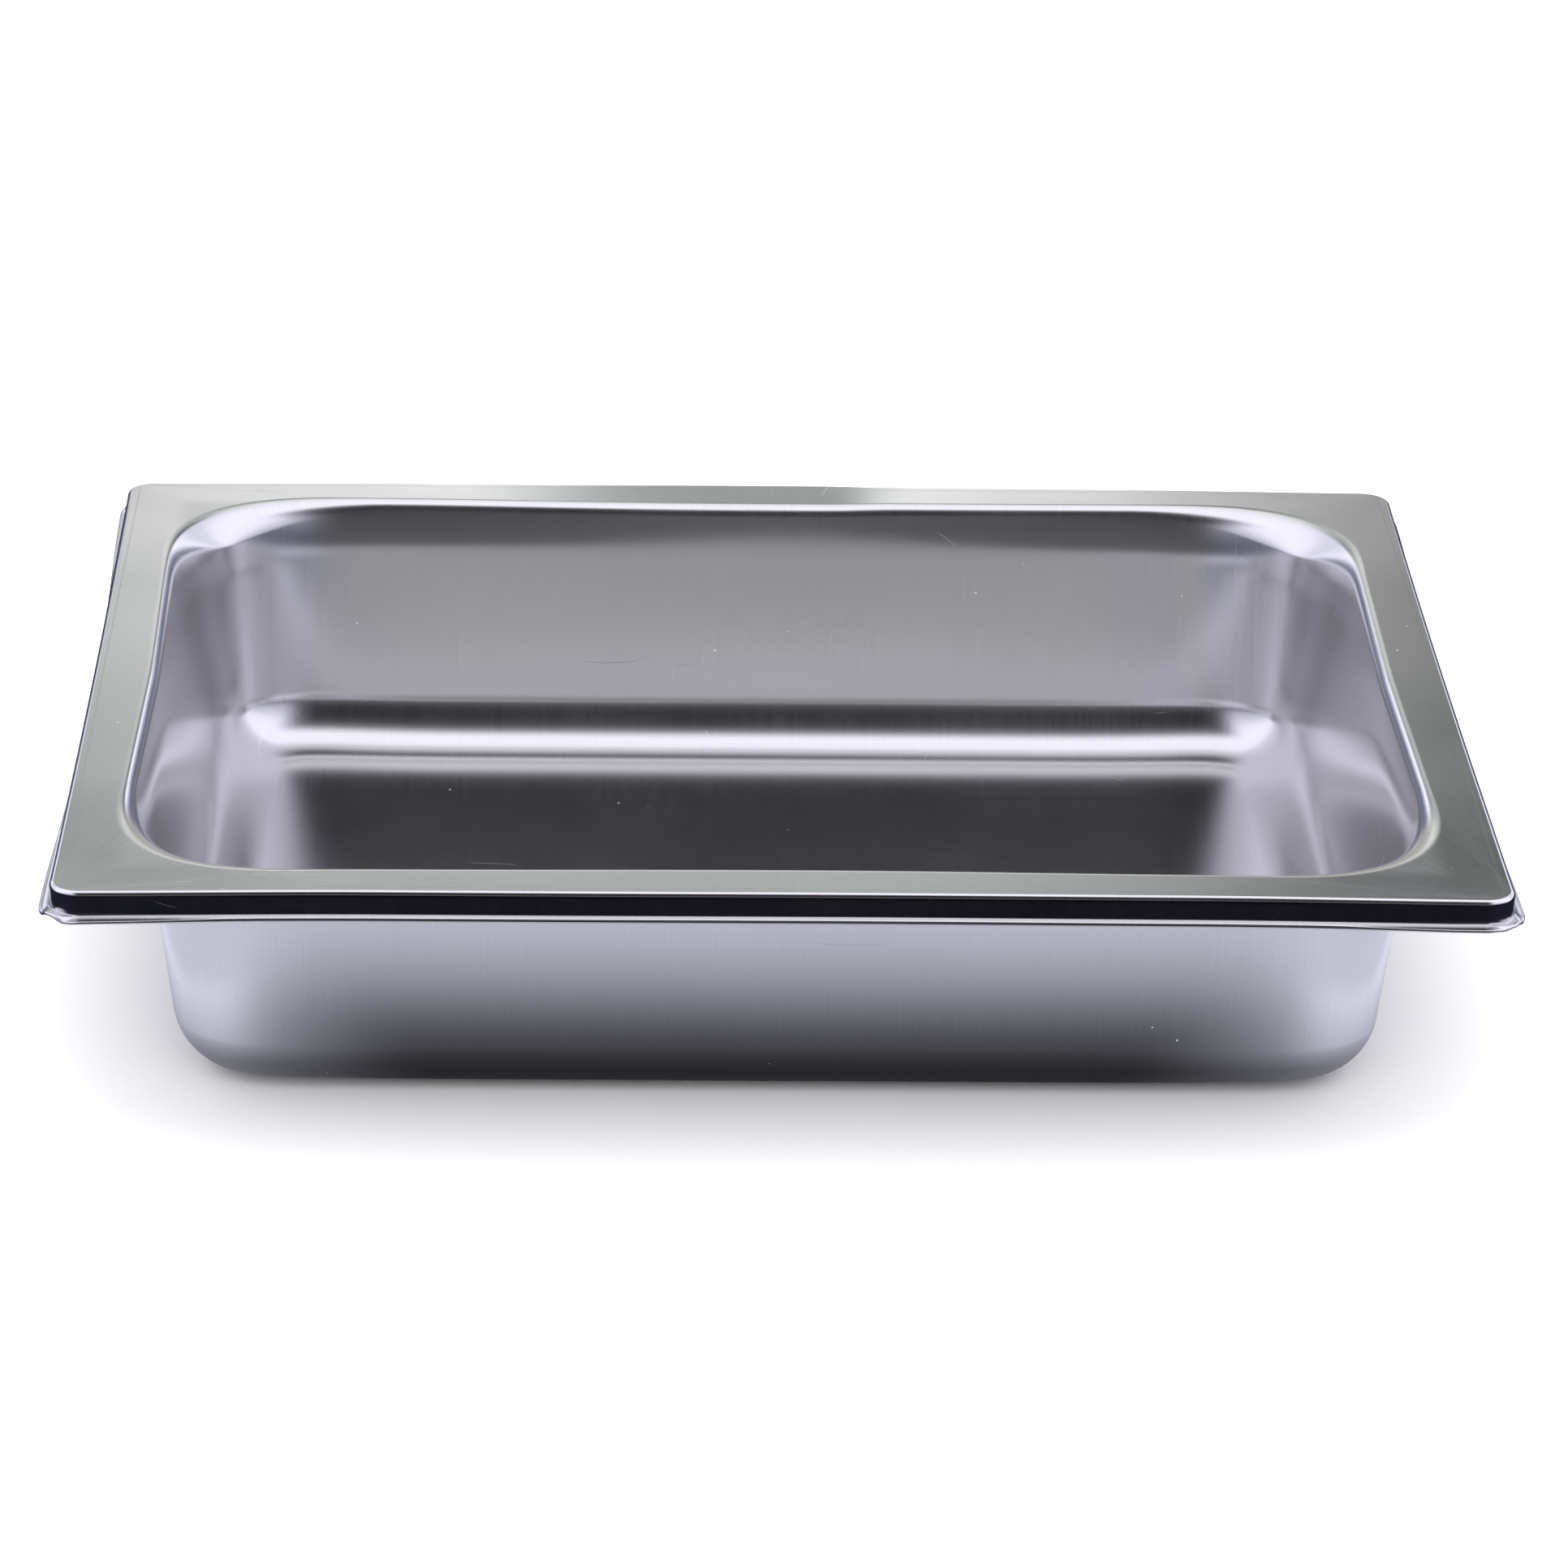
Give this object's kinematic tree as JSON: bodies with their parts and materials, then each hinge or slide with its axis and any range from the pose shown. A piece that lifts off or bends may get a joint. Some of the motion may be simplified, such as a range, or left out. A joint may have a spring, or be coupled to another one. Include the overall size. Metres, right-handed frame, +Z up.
{
  "type": "food pan",
  "caption": "Shallow rectangular deep-drawn steel food pan with tapered walls, rounded corners and a flat rim whose edge turns down and flares out.",
  "frame": {"origin": "centre of the flat underside the pan stands on", "axes": "+X along the long side, +Y along the short side, +Z up out of the open mouth"},
  "size_m": [0.325, 0.265, 0.0615],
  "materials": {
    "steel": "brushed stainless steel, drawn walls, bright rolled edges"
  },
  "bodies": {
    "root": {"pan": "steel"}
  },
  "joints": []
}
